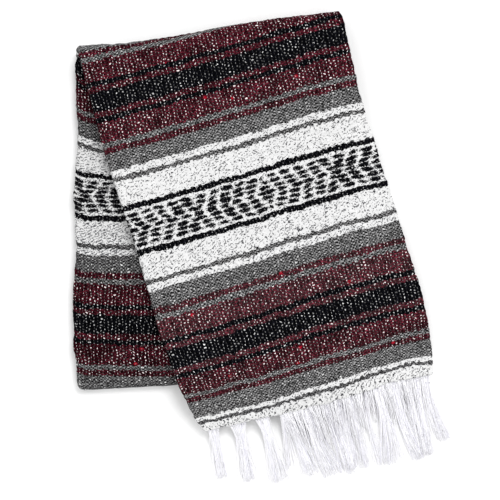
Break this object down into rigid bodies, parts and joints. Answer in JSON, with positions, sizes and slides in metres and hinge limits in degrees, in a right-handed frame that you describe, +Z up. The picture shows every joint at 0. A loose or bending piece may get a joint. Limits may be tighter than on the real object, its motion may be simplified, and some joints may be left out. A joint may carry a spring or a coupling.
{
  "type": "folded mexican serape blanket",
  "caption": "Heavy woven serape blanket with stripes, diamonds and white fringe, folded to a thick strip and laid over itself once, lying flat.",
  "frame": {"origin": "middle of the folded cloth's outline, on the surface that it lies on", "axes": "+X to the right and +Y towards the turn at the top, seen from above, +Z up from the surface"},
  "size_m": [0.4602, 0.5746, 0.0343],
  "materials": {
    "front_cloth": "coarse wool-like weave in maroon, black, grey and white stripes, matte",
    "back_cloth": "the same coarse striped weave, matte",
    "inner_cloth": "the same coarse striped weave seen at its folds and selvedges, matte",
    "warp_fringe": "soft white yarn, matte"
  },
  "bodies": {
    "root": {"front_panel": "front_cloth", "back_panel": "back_cloth", "hidden_layers": "inner_cloth", "fringe_upper": "warp_fringe", "fringe_lower": "warp_fringe"}
  },
  "joints": []
}
